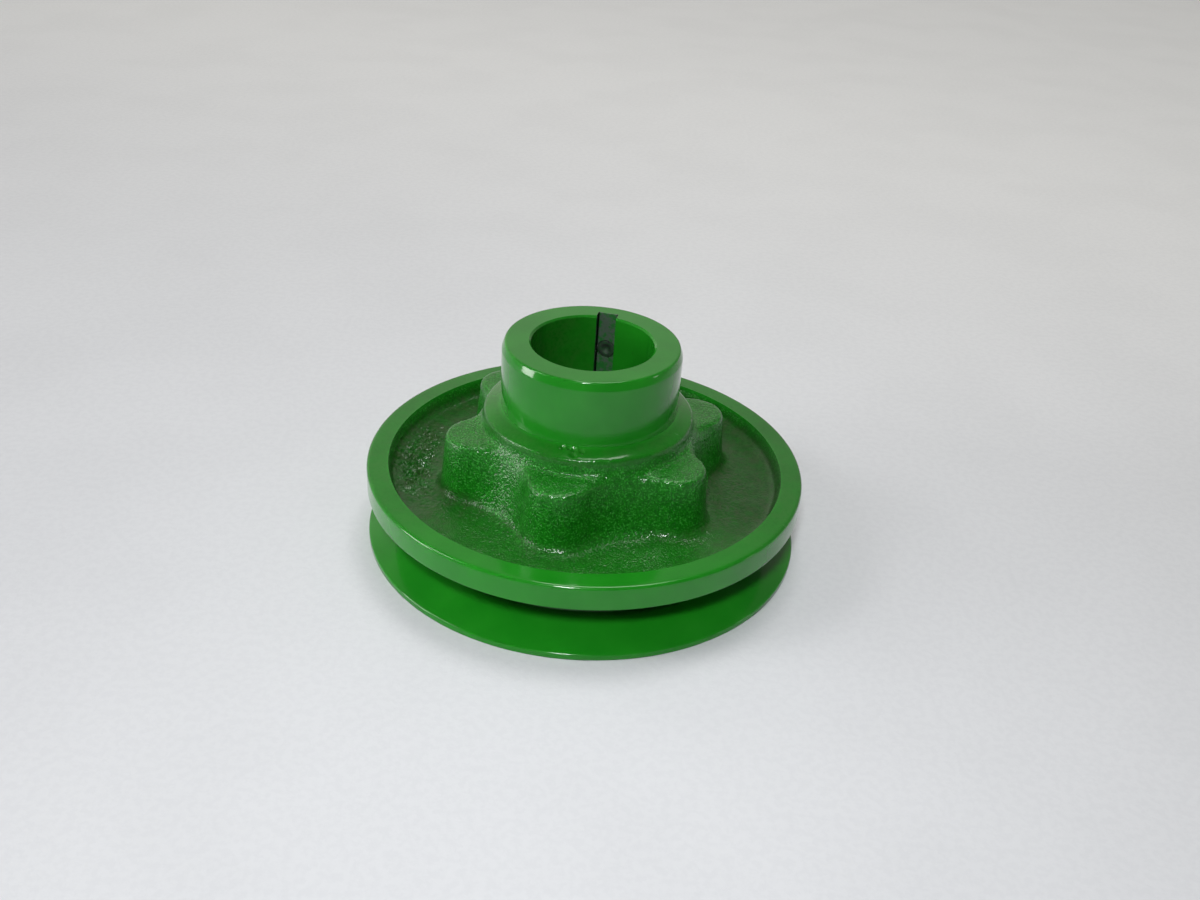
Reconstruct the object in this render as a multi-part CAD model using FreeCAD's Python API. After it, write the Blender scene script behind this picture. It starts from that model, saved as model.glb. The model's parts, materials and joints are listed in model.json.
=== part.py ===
"""Split V-belt pulley, 139.7 mm outside diameter, for one B-section belt.

The hub casting carries the long hub, a boss of six lobes, the recessed web and the upper half
of the groove. The lower flange slides over the hub's spigot from below and is held by six cap
screws that go up into the lobes. Thin shims between the two halves set the groove's width. Two
set screws in the hub wall lock the pulley on its keyed shaft. Z is the shaft's axis, and Z = 0 is
the plane of the lower flange's flat rim and of the hub's lower end. Lengths are millimetres.
"""
import FreeCAD
import Part
import math
import os

os.makedirs("parts", exist_ok=True)
Vec = FreeCAD.Vector

# Pulley rim and groove
RIM_R = 69.85               # outside radius, both flanges
RIM_FACE_Z = 25.9           # machined face of the rim
RIM_FACE_INNER_R = 63.1     # inner edge of that face
BAND_LOW_Z = 18.2           # lower edge of the thick upper band
LIP_Z = 2.0                 # thickness of the lower flange's lip
GROOVE_DEPTH = 14.5
GROOVE_HALF_ANGLE = 17.0    # degrees, half of the 34 degree groove
ROOT_R = RIM_R - GROOVE_DEPTH
FLANK_RISE = GROOVE_DEPTH * math.tan(math.radians(GROOVE_HALF_ANGLE))
EDGE_BREAK = 0.5            # small round on machined edges

# Hub, bore and keyway
HUB_TOP_Z = 67.2
HUB_R = 27.9
HUB_BEVEL_R = 0.9           # bevel round the hub's top edge, radial and axial
HUB_BEVEL_Z = 2.6
HUB_EDGE_ROUND = 0.4
HUB_STEP_Z = 46.2           # where the machined hub ends on the cast ledge
BORE_R = 19.05
BORE_CHAMFER = 0.6
SPIGOT_R = 28.0             # lower end of the hub, through the lower flange
KEY_WIDTH = 6.35
KEY_DEPTH = 3.18            # at the side of the keyway
KEY_AZ = 78.6               # degrees from +X

# Cast web, ledge and six-lobed boss
WEB_TOP_Z = 20.3
WEB_OUTER_R = 61.4          # foot of the wall that rises to the rim face
WEB_CORNER_FILLET = 3.0
PARTING_Z = BAND_LOW_Z - FLANK_RISE   # under face of the hub casting, at the groove's root
HUB_FOOT_FILLET = 0.8
LEDGE_R = 33.0
LEDGE_Z = 44.2
LEDGE_ROUND = 1.2
LEDGE_FOOT_R = 33.6
LOBE_COUNT = 6
LOBE_AZ = KEY_AZ - 180.0     # one lobe stands behind the keyway
LOBE_TOP_Z = 39.0
LOBE_CENTRE_R = 35.8
LOBE_TOP_RADIUS = 9.8
LOBE_FOOT_RADIUS = 11.3
VALLEY_TOP_R = 34.2
VALLEY_FOOT_R = 38.5
LOBE_EDGE_ROUND = 1.4
LOBE_FOOT_FILLET = 3.5

# Shims and lower flange
SHIM_COUNT = 4
SHIM_THICK = 0.5
SHIM_R = 54.6
SHIM_BORE_R = 28.3
FLANGE_TOP_Z = PARTING_Z - SHIM_COUNT * SHIM_THICK
FLANGE_BORE_R = 28.05
FLANGE_WEB_LOW_Z = 6.0
FLANGE_LAND_INNER_R = 57.5
FLANGE_DISH_R = 53.5
FLANGE_DISH_FILLET = 2.5
LIP_LOW_ROUND = 0.4
LIP_HIGH_ROUND = 0.6
SPOTFACE_R = 8.6
SPOTFACE_Z = 7.3

# Cap screws, 5/16 inch by 1 inch, and their spring lock washers
SCREW_PCD_R = 38.1
SCREW_R = 3.97
SCREW_LENGTH = 25.4
SCREW_CLEAR_R = 4.3
TAPPED_R = 4.02
TAPPED_TOP_Z = 34.5
POINT_CHAMFER = 0.8
HEAD_FLATS = 12.7
HEAD_HEIGHT = 5.0
HEAD_FACE_R = 6.15          # flat circle on the head's outer face
HEAD_CHAMFER = 1.1          # how far the head's corners are cut back along the axis
WASHER_R = 7.4
WASHER_BORE_R = 4.15
WASHER_THICK = 1.8
WASHER_SLIT = 0.9
WASHER_SLIT_SLANT = 25.0    # degrees

# Set screws, cup point, hexagon socket: one over the keyway and one a quarter turn on
SET_SCREW_Z = 54.5
KEY_SCREW_R = 3.12
KEY_SCREW_LENGTH = 4.76
KEY_SCREW_SOCKET_FLATS = 3.18
SIDE_SCREW_AZ = KEY_AZ + 90.0
SIDE_SCREW_R = 3.91
SIDE_SCREW_LENGTH = 7.94
SIDE_SCREW_SOCKET_FLATS = 3.97
SET_SCREW_CLEARANCE = 0.05
SET_SCREW_RECESS = 0.3      # gap left between the point and the bore or keyway
CUP_DEPTH = 0.9
CUP_SHARE = 0.55            # cup's rim, as a share of the screw's radius
SOCKET_SHARE = 0.45         # where the socket's floor is, as a share of the screw's length
SET_SCREW_CHAMFER = 0.4
POINT_BEVEL = 0.6
KEY_FLOOR_R = math.sqrt(BORE_R ** 2 - (KEY_WIDTH / 2) ** 2) + KEY_DEPTH

AXIS_UP = Vec(0, 0, 1)


def corner_arc(before, corner, after, radius):
    """The tangent arc that rounds a corner between two straight runs, as three points."""
    to_before = (before - corner).normalize()
    to_after = (after - corner).normalize()
    half_turn = to_before.getAngle(to_after) / 2
    setback = radius / math.tan(half_turn)
    bisector = (to_before + to_after).normalize()
    centre = corner + bisector * (radius / math.sin(half_turn))
    start = corner + to_before * setback
    end = corner + to_after * setback
    return start, centre - bisector * radius, end


def turned(outline):
    """A solid of revolution about Z, from corners given as (r, z) or (r, z, rounding radius)."""
    corners = [Vec(c[0], 0, c[1]) for c in outline]
    rounds = [c[2] if len(c) > 2 else 0.0 for c in outline]
    count = len(corners)
    stretches = []
    for i in range(count):
        if rounds[i] > 0:
            stretches.append(corner_arc(corners[i - 1], corners[i], corners[(i + 1) % count], rounds[i]))
        else:
            stretches.append((corners[i], None, corners[i]))
    edges = []
    for i in range(count):
        start, middle, end = stretches[i]
        if middle is not None:
            edges.append(Part.Arc(start, middle, end).toShape())
        following = stretches[(i + 1) % count][0]
        if (following - end).Length > 1e-6:
            edges.append(Part.LineSegment(end, following).toShape())
    face = Part.Face(Part.Wire(Part.__sortEdges__(edges)))
    return face.revolve(Vec(0, 0, 0), AXIS_UP, 360)


def rod(radius, z_low, z_high, x=0.0, y=0.0):
    """An upright cylinder between two heights."""
    return Part.makeCylinder(radius, z_high - z_low, Vec(x, y, z_low), AXIS_UP)


def polar(radius, azimuth, z=0.0):
    """A point at a radius and an azimuth in degrees."""
    turn = math.radians(azimuth)
    return Vec(radius * math.cos(turn), radius * math.sin(turn), z)


def lobe_azimuths():
    """Azimuths of the six lobes, which are also those of the six cap screws."""
    return [LOBE_AZ + 360.0 / LOBE_COUNT * k for k in range(LOBE_COUNT)]


def radial_placement(azimuth, z):
    """Turns a piece modelled along +Z so that it lies along a radius at a height."""
    lie_down = FreeCAD.Rotation(Vec(0, 1, 0), 90)
    swing = FreeCAD.Rotation(AXIS_UP, azimuth)
    return FreeCAD.Placement(Vec(0, 0, z), swing.multiply(lie_down))


def lobed_outline(z, lobe_radius, valley_r):
    """Closed outline of tangent arcs: round lobes, with hollow valleys between them."""
    half_pitch = 180.0 / LOBE_COUNT
    cosine = math.cos(math.radians(half_pitch))
    c = LOBE_CENTRE_R
    top = c ** 2 + valley_r ** 2 - 2 * c * valley_r * cosine - lobe_radius ** 2
    valley_radius = top / (2 * (lobe_radius - valley_r + c * cosine))
    edges = []
    for azimuth in lobe_azimuths():
        lobe_centre = polar(c, azimuth, z)
        valley_before = polar(valley_r + valley_radius, azimuth - half_pitch, z)
        valley_after = polar(valley_r + valley_radius, azimuth + half_pitch, z)
        start = lobe_centre + (valley_before - lobe_centre).normalize() * lobe_radius
        end = lobe_centre + (valley_after - lobe_centre).normalize() * lobe_radius
        tip = polar(c + lobe_radius, azimuth, z)
        next_azimuth = azimuth + 2 * half_pitch
        next_centre = polar(c, next_azimuth, z)
        next_start = next_centre + (valley_after - next_centre).normalize() * lobe_radius
        valley = polar(valley_r, azimuth + half_pitch, z)
        edges.append(Part.Arc(start, tip, end).toShape())
        edges.append(Part.Arc(end, valley, next_start).toShape())
    return Part.Wire(edges)


def at_height(edge, z):
    """True where an edge lies flat at a height."""
    return abs(edge.BoundBox.ZMin - z) < 1e-4 and abs(edge.BoundBox.ZMax - z) < 1e-4


def is_lobe_edge(edge, z):
    """True for the arcs that bound the lobed boss at a height."""
    middle = edge.valueAt((edge.FirstParameter + edge.LastParameter) / 2)
    radius = math.hypot(middle.x, middle.y)
    return at_height(edge, z) and LEDGE_R + 1.0 < radius < RIM_FACE_INNER_R - 8.0


def keyway_cutter():
    """A bar as wide as the key, from inside the bore out to the keyway's floor."""
    bar = Part.makeBox(KEY_FLOOR_R, KEY_WIDTH, HUB_TOP_Z + 2, Vec(0, -KEY_WIDTH / 2, -1))
    bar.rotate(Vec(0, 0, 0), AXIS_UP, KEY_AZ)
    return bar


def bore_cutter():
    """The bore, with a small chamfer at each end."""
    return turned([
        (0, -1), (BORE_R + BORE_CHAMFER + 1, -1), (BORE_R, BORE_CHAMFER),
        (BORE_R, HUB_TOP_Z - BORE_CHAMFER), (BORE_R + BORE_CHAMFER + 1, HUB_TOP_Z + 1), (0, HUB_TOP_Z + 1),
    ])


def hub_casting():
    """Hub, ledge, lobed boss, recessed web and the upper half of the groove, all one casting."""
    body = turned([
        (0, 0), (SPIGOT_R, 0, EDGE_BREAK), (SPIGOT_R, PARTING_Z), (ROOT_R, PARTING_Z),
        (RIM_R, BAND_LOW_Z, EDGE_BREAK), (RIM_R, RIM_FACE_Z, EDGE_BREAK),
        (RIM_FACE_INNER_R, RIM_FACE_Z, EDGE_BREAK), (WEB_OUTER_R, WEB_TOP_Z, WEB_CORNER_FILLET),
        (LEDGE_FOOT_R, WEB_TOP_Z), (LEDGE_R, LEDGE_Z, LEDGE_ROUND), (HUB_R, HUB_STEP_Z, HUB_FOOT_FILLET),
        (HUB_R, HUB_TOP_Z - HUB_BEVEL_Z), (HUB_R - HUB_BEVEL_R, HUB_TOP_Z, HUB_EDGE_ROUND), (0, HUB_TOP_Z),
    ])
    foot = lobed_outline(WEB_TOP_Z - 1.0, LOBE_FOOT_RADIUS, VALLEY_FOOT_R)
    top = lobed_outline(LOBE_TOP_Z, LOBE_TOP_RADIUS, VALLEY_TOP_R)
    body = body.fuse(Part.makeLoft([foot, top], True, True))
    foot_edges = [e for e in body.Edges if is_lobe_edge(e, WEB_TOP_Z)]
    body = body.makeFillet(LOBE_FOOT_FILLET, foot_edges)
    top_edges = [e for e in body.Edges if is_lobe_edge(e, LOBE_TOP_Z)]
    body = body.makeFillet(LOBE_EDGE_ROUND, top_edges)
    body = body.cut(bore_cutter()).cut(keyway_cutter())
    for azimuth in lobe_azimuths():
        place = polar(SCREW_PCD_R, azimuth)
        body = body.cut(rod(TAPPED_R, PARTING_Z - 1, TAPPED_TOP_Z, place.x, place.y))
    for azimuth, radius in ((KEY_AZ, KEY_SCREW_R), (SIDE_SCREW_AZ, SIDE_SCREW_R)):
        hole = Part.makeCylinder(radius + SET_SCREW_CLEARANCE, HUB_R + 5)
        hole.Placement = radial_placement(azimuth, SET_SCREW_Z)
        body = body.cut(hole)
    return body


def lower_flange():
    """The loose half: thin-lipped flank, groove root, bolting web and a flat rim to rest on."""
    body = turned([
        (FLANGE_BORE_R, FLANGE_WEB_LOW_Z, EDGE_BREAK), (FLANGE_DISH_R, FLANGE_WEB_LOW_Z, FLANGE_DISH_FILLET),
        (FLANGE_LAND_INNER_R, 0, EDGE_BREAK), (RIM_R, 0, LIP_LOW_ROUND), (RIM_R, LIP_Z, LIP_HIGH_ROUND),
        (ROOT_R, LIP_Z + FLANK_RISE, EDGE_BREAK), (ROOT_R, FLANGE_TOP_Z, EDGE_BREAK),
        (FLANGE_BORE_R, FLANGE_TOP_Z),
    ])
    for azimuth in lobe_azimuths():
        place = polar(SCREW_PCD_R, azimuth)
        body = body.cut(rod(SCREW_CLEAR_R, FLANGE_WEB_LOW_Z - 1, FLANGE_TOP_Z + 1, place.x, place.y))
        body = body.cut(rod(SPOTFACE_R, FLANGE_WEB_LOW_Z - 1, SPOTFACE_Z, place.x, place.y))
    return body


def shim(index):
    """One thin spacing ring, with holes for the cap screws."""
    low = FLANGE_TOP_Z + index * SHIM_THICK
    ring = rod(SHIM_R, low, low + SHIM_THICK).cut(rod(SHIM_BORE_R, low - 1, low + SHIM_THICK + 1))
    for azimuth in lobe_azimuths():
        place = polar(SCREW_PCD_R, azimuth)
        ring = ring.cut(rod(SCREW_CLEAR_R, low - 1, low + SHIM_THICK + 1, place.x, place.y))
    return ring


def hexagon_bar(flats, z_low, length):
    """An upright hexagonal bar, measured across its flats."""
    corner_r = flats / 2 / math.cos(math.pi / 6)
    corners = [polar(corner_r, 60.0 * k, z_low) for k in range(6)]
    return Part.Face(Part.makePolygon(corners + corners[:1])).extrude(Vec(0, 0, length))


def flange_screw(azimuth):
    """A hexagon-head cap screw, head down, with a chamfered head and point."""
    seat_z = SPOTFACE_Z - WASHER_THICK
    head_z = seat_z - HEAD_HEIGHT
    tip_z = seat_z + SCREW_LENGTH
    corner_r = HEAD_FLATS / 2 / math.cos(math.pi / 6)
    head = hexagon_bar(HEAD_FLATS, head_z, HEAD_HEIGHT)
    chamfered = turned([
        (0, head_z), (HEAD_FACE_R, head_z), (corner_r, head_z + HEAD_CHAMFER),
        (corner_r, seat_z), (0, seat_z),
    ])
    shank = turned([
        (0, head_z + HEAD_CHAMFER), (SCREW_R, head_z + HEAD_CHAMFER), (SCREW_R, tip_z - POINT_CHAMFER),
        (SCREW_R - POINT_CHAMFER, tip_z), (0, tip_z),
    ])
    screw = head.common(chamfered).fuse(shank).removeSplitter()
    screw.rotate(Vec(0, 0, 0), AXIS_UP, azimuth)
    screw.translate(polar(SCREW_PCD_R, azimuth))
    return screw


def lock_washer(azimuth):
    """A spring lock washer: a square-section ring with one slanting slit."""
    low = SPOTFACE_Z - WASHER_THICK
    ring = rod(WASHER_R, low, SPOTFACE_Z).cut(rod(WASHER_BORE_R, low - 1, SPOTFACE_Z + 1))
    slit_corner = Vec(0, -WASHER_SLIT / 2, low - WASHER_THICK)
    slit = Part.makeBox(WASHER_R + 2, WASHER_SLIT, WASHER_THICK * 3, slit_corner)
    slit.rotate(Vec(0, 0, low + WASHER_THICK / 2), Vec(1, 0, 0), WASHER_SLIT_SLANT)
    ring = ring.cut(slit)
    ring.rotate(Vec(0, 0, 0), AXIS_UP, azimuth)
    ring.translate(polar(SCREW_PCD_R, azimuth))
    return ring


def set_screw(radius, length, socket_flats, point_r, azimuth):
    """A headless screw along a radius: cup point inwards, hexagon socket outwards."""
    head_r = point_r + length
    body = turned([
        (0, point_r + CUP_DEPTH), (radius * CUP_SHARE, point_r), (radius - POINT_BEVEL, point_r),
        (radius, point_r + POINT_BEVEL), (radius, head_r - SET_SCREW_CHAMFER),
        (radius - SET_SCREW_CHAMFER, head_r), (0, head_r),
    ])
    body = body.cut(hexagon_bar(socket_flats, point_r + length * SOCKET_SHARE, length))
    body.Placement = radial_placement(azimuth, SET_SCREW_Z)
    return body


def save(name, shape):
    """Writes one named piece, and prints its state."""
    shape.exportStep("parts/" + name + ".step")
    print(name, "valid", shape.isValid(), "solids", len(shape.Solids), "mm3", round(shape.Volume, 1))


save("hub_casting", hub_casting())
save("lower_flange", lower_flange())
for number in range(SHIM_COUNT):
    save("spacing_shim_%d" % (number + 1), shim(number))
for number, screw_azimuth in enumerate(lobe_azimuths()):
    save("flange_screw_%d" % (number + 1), flange_screw(screw_azimuth))
    save("lock_washer_%d" % (number + 1), lock_washer(screw_azimuth))
key_screw_point = KEY_FLOOR_R + SET_SCREW_RECESS
side_screw_point = BORE_R + SET_SCREW_RECESS
save("keyway_set_screw",
     set_screw(KEY_SCREW_R, KEY_SCREW_LENGTH, KEY_SCREW_SOCKET_FLATS, key_screw_point, KEY_AZ))
save("side_set_screw",
     set_screw(SIDE_SCREW_R, SIDE_SCREW_LENGTH, SIDE_SCREW_SOCKET_FLATS, side_screw_point, SIDE_SCREW_AZ))
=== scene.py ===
"""Looks of the split V-belt pulley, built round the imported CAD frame.

The hub casting and the lower flange are rebuilt as dense lathe grids, so that the sand-cast skin,
the fillets and the paint runs are real geometry. Screws get threads, sockets and chamfers. The
shims and lock washers keep their CAD shape. Lengths are metres in the frame's own axes: Z is the
shaft's axis, and Z = 0 is the plane that the pulley stands on.
"""
import json
import math
import bmesh
import bpy
import numpy as np
from mathutils import Matrix, Vector


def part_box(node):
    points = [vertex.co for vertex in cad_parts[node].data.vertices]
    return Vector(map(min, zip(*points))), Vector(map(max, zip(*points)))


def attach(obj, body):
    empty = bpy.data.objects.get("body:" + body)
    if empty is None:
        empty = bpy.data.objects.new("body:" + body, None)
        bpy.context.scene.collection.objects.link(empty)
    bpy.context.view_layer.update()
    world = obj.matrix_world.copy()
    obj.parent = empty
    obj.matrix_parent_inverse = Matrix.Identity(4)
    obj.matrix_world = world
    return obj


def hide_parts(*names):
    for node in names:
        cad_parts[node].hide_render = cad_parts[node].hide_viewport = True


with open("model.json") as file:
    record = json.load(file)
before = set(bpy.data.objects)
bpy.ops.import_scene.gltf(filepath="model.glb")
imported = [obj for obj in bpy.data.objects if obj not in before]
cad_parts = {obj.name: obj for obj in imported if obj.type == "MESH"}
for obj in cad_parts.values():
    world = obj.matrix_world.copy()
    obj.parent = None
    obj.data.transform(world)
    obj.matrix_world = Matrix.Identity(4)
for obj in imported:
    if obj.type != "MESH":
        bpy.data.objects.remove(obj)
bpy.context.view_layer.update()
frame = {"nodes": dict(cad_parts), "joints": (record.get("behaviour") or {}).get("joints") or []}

MM = 0.001
TURN = 2 * math.pi

# Sizes read from the frame
CASTING_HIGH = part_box("hub_casting")[1]
RIM_R = CASTING_HIGH.x
HUB_TOP_Z = CASTING_HIGH.z
FLANGE_TOP_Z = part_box("lower_flange")[1].z
JOINTS = {joint["name"]: joint for joint in frame["joints"]}
KEY_AXIS = Vector(JOINTS["keyway_screw_travel"]["axis"])
SIDE_AXIS = Vector(JOINTS["side_screw_travel"]["axis"])
KEY_AZ = math.atan2(KEY_AXIS.y, KEY_AXIS.x)

# Rim and groove
GROOVE_HALF_ANGLE = math.radians(17)
RIM_FACE_Z = 25.9 * MM
RIM_FACE_INNER_R = 63.1 * MM
RIM_EDGE_ROUND = 1.0 * MM
BAND_EDGE_ROUND = 0.5 * MM
BAND_LOW_Z = 18.2 * MM
LIP_Z = 2.0 * MM
ROOT_R = RIM_R - 14.5 * MM
FLANK_RISE = (RIM_R - ROOT_R) * math.tan(GROOVE_HALF_ANGLE)
PARTING_Z = BAND_LOW_Z - FLANK_RISE

# Hub, bore and keyway
HUB_R = 27.9 * MM
HUB_BEVEL_R = 0.9 * MM
HUB_BEVEL_Z = 2.6 * MM
HUB_EDGE_ROUND = 0.7 * MM
HUB_BEVEL_ROUND = 2.5 * MM
HUB_FACE_MARGIN = 0.8 * MM
HUB_STEP_Z = 46.2 * MM
BORE_R = 19.05 * MM
BORE_CHAMFER = 0.6 * MM
SPIGOT_R = 28.0 * MM
KEY_HALF_WIDTH = 3.175 * MM
KEY_FLOOR_R = math.sqrt(BORE_R ** 2 - KEY_HALF_WIDTH ** 2) + 3.18 * MM

# Cast ledge, web and lobes
LEDGE_R = 33.0 * MM
LEDGE_Z = 44.2 * MM
LEDGE_FOOT_R = 33.6 * MM
LOBE_COUNT = 6
LOBE_AZ = KEY_AZ - math.pi
LOBE_TOP_Z = 39.0 * MM
LOBE_CENTRE_R = 35.8 * MM
LOBE_TOP_RADIUS = 9.8 * MM
LOBE_FOOT_RADIUS = 11.5 * MM
VALLEY_TOP_R = 34.4 * MM
VALLEY_FOOT_R = 39.0 * MM
WEB_TOP_Z = 20.3 * MM
WEB_OUTER_R = 61.4 * MM

# Lower flange
FLANGE_BORE_R = 28.05 * MM
FLANGE_WEB_LOW_Z = 6.0 * MM
FLANGE_LAND_INNER_R = 57.5 * MM
FLANGE_DISH_R = 53.5 * MM
SPOTFACE_R = 8.6 * MM
SPOTFACE_Z = 7.3 * MM

# Screws and their holes
SCREW_CLEAR_R = 4.3 * MM
TAPPED_R = 4.02 * MM
TAPPED_TOP_Z = 34.5 * MM
HEX_FLATS = 12.7 * MM
HEX_HEAD = 5.0 * MM
CAP_SHANK_R = 3.97 * MM
CAP_PITCH = 1.41 * MM
KEY_SCREW_SOCKET = 3.18 * MM
KEY_SCREW_PITCH = 1.27 * MM
SIDE_SCREW_SOCKET = 3.97 * MM
SIDE_SCREW_PITCH = 1.41 * MM
THREAD_DEPTH = 0.54
HOLE_CLEARANCE = 0.05 * MM

# How finely the lathe grids are cut, and how many degrees an edge must turn to stay crisp
CASTING_COLUMNS = 1080
CAST_ROWS = 250
PROFILE_STEPS = 640
FLANGE_COLUMNS = 900
HOLE_COLUMNS = 96
CAP_SCREW_COLUMNS = 96
SET_SCREW_COLUMNS = 72
BORE_ROW_PITCH = 1.5 * MM
HUB_ROW_PITCH = 1.2 * MM
RIM_ROW_PITCH = 0.8 * MM
FLANGE_ROW_PITCH = 0.9 * MM
DISH_ROW_PITCH = 0.4 * MM
THREAD_ROWS_PER_TURN = 10
LEAST_COLUMN_GAP = 0.0015
CASTING_CRISP = 32
SCREW_CRISP = 28
CAD_CRISP = 30
CAD_BEVEL_FROM = 50

# Large odd factors that scatter a lattice cell's numbers over an even, repeatable range
CELL_FACTORS = (73856093, 19349663, 83492791)
SEED_FACTOR = 2654435761
STIR_FACTORS = (1274126177, 2246822519)

# Blur of the cast skin's corners in mm: the hub's foot, the ledge's edge and foot, the boss's top
# edge and foot, the web's outer edge and the rim face's inner edge
CORNER_BLUR = [0.6, 0.7, 1.1, 0.9, 2.6, 1.8, 0.15]
LEDGE_FOOT_HOLLOW_BLUR = 1.5 * MM
BOSS_EDGE_HOLLOW_BLUR = 1.9 * MM
BLUR_LADDER = [0.15, 0.5, 1.2, 2.6]

# How much the sand grain's strength drifts from place to place: share, size in mm, seed
GRAIN_DRIFT = [(0.5, 9, 18)]

# Noise on the cast skin: height in mm, size in mm, seed
SAND_GRAIN = [(0.055, 0.9, 11), (0.070, 0.55, 12)]
LUMPS = [(0.11, 7, 14), (0.05, 3.2, 15)]
WEB_WAVES = [(0.10, 4.5, 19)]
DISH_GRAIN = [(0.045, 1.4, 31), (0.040, 0.8, 32)]
DISH_LUMPS = [(0.12, 6, 33)]

# Where the boss's grain and the web's own waves fade in, and over how many rows all relief does
BOSS_FADE = (56 * MM, 50 * MM)
WEB_FADE = (46 * MM, 52 * MM)
EDGE_FADE_ROWS = (1, 8)

# Share of the sand grain that shows on the web, on the boss, and also in the boss's hollows
GRAIN_ON_WEB = 0.30
GRAIN_ON_BOSS = 0.35
GRAIN_IN_HOLLOWS = 0.45
LUMPS_ON_LEDGE = 0.15

# The rough patch on the web: its middle, its spread in radians and metres, its relief in mm, and
# the cell and seed of its pits
SCAB_AZ = math.radians(180)
SCAB_R = 54.5 * MM
SCAB_TURN = 0.34
SCAB_REACH = 6 * MM
SCAB_PITS = 1.5
SCAB_SINK = 0.45
COARSE_PIT = (1.7 * MM, 16)
FINE_PIT = (0.9 * MM, 17)
FINE_PIT_SHARE = 0.6

# Drops of thick paint at the front of the hub's foot: azimuth in degrees, then radius, size and
# height in mm
PAINT_RUNS = [
    (-104, 28.9, 0.75, 0.65),
    (-100.5, 28.7, 0.60, 0.80),
    (-97.5, 29.0, 0.80, 0.75),
    (-97, 31.0, 0.90, 0.60),
    (-92.5, 29.6, 0.75, 0.50),
]

# Paint colours in linear RGB. The lists also give each colour's place on a noise from 0 to 1
MACHINED_GREENS = [
    (0.30, (0.007, 0.180, 0.007)),
    (0.55, (0.010, 0.205, 0.009)),
    (0.75, (0.014, 0.226, 0.012)),
]
CAST_GREENS = [
    (0.30, (0.002, 0.108, 0.002)),
    (0.52, (0.004, 0.143, 0.003)),
    (0.75, (0.008, 0.170, 0.005)),
]
# Painted shade in the cast grain's pits and painted glints on the grain's tops
PAINTED_PIT_SHADE_GREEN = (0.001, 0.065, 0.001)
PAINTED_GLINT_GREEN = (0.050, 0.370, 0.047)
# Dust colours, also used as painted shade on the web, ledge, bore and rim face
DUST_AND_SHADE_GREEN = (0.006, 0.072, 0.005)
DUST_AND_SHADE_OLIVE = (0.024, 0.042, 0.014)
DUST_AND_SHADE_DARK = (0.003, 0.030, 0.002)
THIN_GREEN = (0.022, 0.150, 0.030)
THIN_GREY = (0.080, 0.120, 0.088)
# Painted shade for the keyway's corners and the bottom of the groove
PAINTED_SHADE_BLACK = (0.002, 0.006, 0.003)
# Convex edges, lighter and greyer in broken patches
PALE_EDGE_GREEN = (0.11, 0.30, 0.11)
SCREW_STAIN = (0.028, 0.044, 0.031)
SCREW_GREEN = (0.020, 0.070, 0.025)

# The pale floor, which lies just under the object so that the two never share a plane
FLOOR_REACH = 3.0
FLOOR_DROP = 0.02 * MM
# Painted shade near the camera and painted light far away and to the right
CLOTH_NEAR_PAINTED_SHADE = [(0.3, (0.645, 0.655, 0.69)), (0.7, (0.685, 0.695, 0.73))]
CLOTH_FAR_PAINTED_LIGHT = (0.93, 0.935, 0.95)

# The camera: how far it looks down in degrees, its distance in rim radii, the height it aims at,
# its sensor and lens in mm, and small turns in degrees about its own axes
CAMERA_PITCH = 31.083
CAMERA_DISTANCE = 5.6809
CAMERA_AIM_Z = 25.94 * MM
CAMERA_SENSOR = 36.0
CAMERA_LENS = 36.76
CAMERA_TURNS = [(-0.6416, "Y"), (0.3618, "X"), (3.618, "Z")]

# The room's brightness by direction: axis, where it starts and ends, and the level at each
ROOM_COLOUR = (1.0, 0.98, 0.88, 1)
ROOM_LEVELS = [
    (0, -0.5, 0.5, 1.2, 0.6),
    (1, -0.4, 0.9, 0.14, 0.66),
    (2, 0.45, 0.80, 1.0, 0.4),
]


# ---------------------------------------------------------------- geometry helpers

def lattice_noise(points, cell, seed):
    """Smooth noise from -1 to 1 on a cubic lattice, the same on every run."""
    scaled = points / cell
    base = np.floor(scaled).astype(np.int64)
    part = scaled - base
    ease = part * part * (3 - 2 * part)
    total = np.zeros(len(points))
    for corner in np.ndindex(2, 2, 2):
        ids = (base + np.array(corner)) * np.array(CELL_FACTORS)
        mixed = ids[:, 0] ^ ids[:, 1] ^ ids[:, 2] ^ seed * SEED_FACTOR
        mixed = (mixed ^ (mixed >> 13)) * STIR_FACTORS[0] & 0xFFFFFFFF
        mixed = (mixed ^ (mixed >> 16)) * STIR_FACTORS[1] & 0xFFFFFFFF
        value = (mixed ^ (mixed >> 15)) / 0x7FFFFFFF - 1.0
        weight = np.prod(np.where(corner, ease, 1 - ease), axis=1)
        total += weight * value
    return total


def layered_noise(points, layers):
    """Adds up layers of noise, each given by its height, its size in mm and its seed."""
    return sum(height * lattice_noise(points, size * MM, seed) for height, size, seed in layers)


def smooth_step(low, high, value):
    """0 below low, 1 above high, and an even curve between."""
    t = np.clip((value - low) / (high - low), 0, 1)
    return t * t * (3 - 2 * t)


def rounded(corners, steps=5):
    """Corners (r, z, radius) of an open run, with each inner corner turned into an arc."""
    points = [np.array(corners[0][:2])]
    for before, corner, after in zip(corners, corners[1:], corners[2:]):
        here = np.array(corner[:2])
        radius = corner[2] if len(corner) > 2 else 0.0
        if radius == 0:
            points.append(here)
            continue
        back = np.array(before[:2]) - here
        on = np.array(after[:2]) - here
        back = back / np.linalg.norm(back)
        on = on / np.linalg.norm(on)
        half = math.acos(float(np.clip(back @ on, -1, 1))) / 2
        bisector = (back + on) / np.linalg.norm(back + on)
        centre = here + bisector * radius / math.sin(half)
        start = here + back * radius / math.tan(half) - centre
        end = here + on * radius / math.tan(half) - centre
        sweep = math.pi - 2 * half
        for k in range(steps + 1):
            t = k / steps
            from_start = math.sin((1 - t) * sweep) * start
            from_end = math.sin(t * sweep) * end
            points.append(centre + (from_start + from_end) / math.sin(sweep))
    points.append(np.array(corners[-1][:2]))
    return np.array(points)


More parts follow.
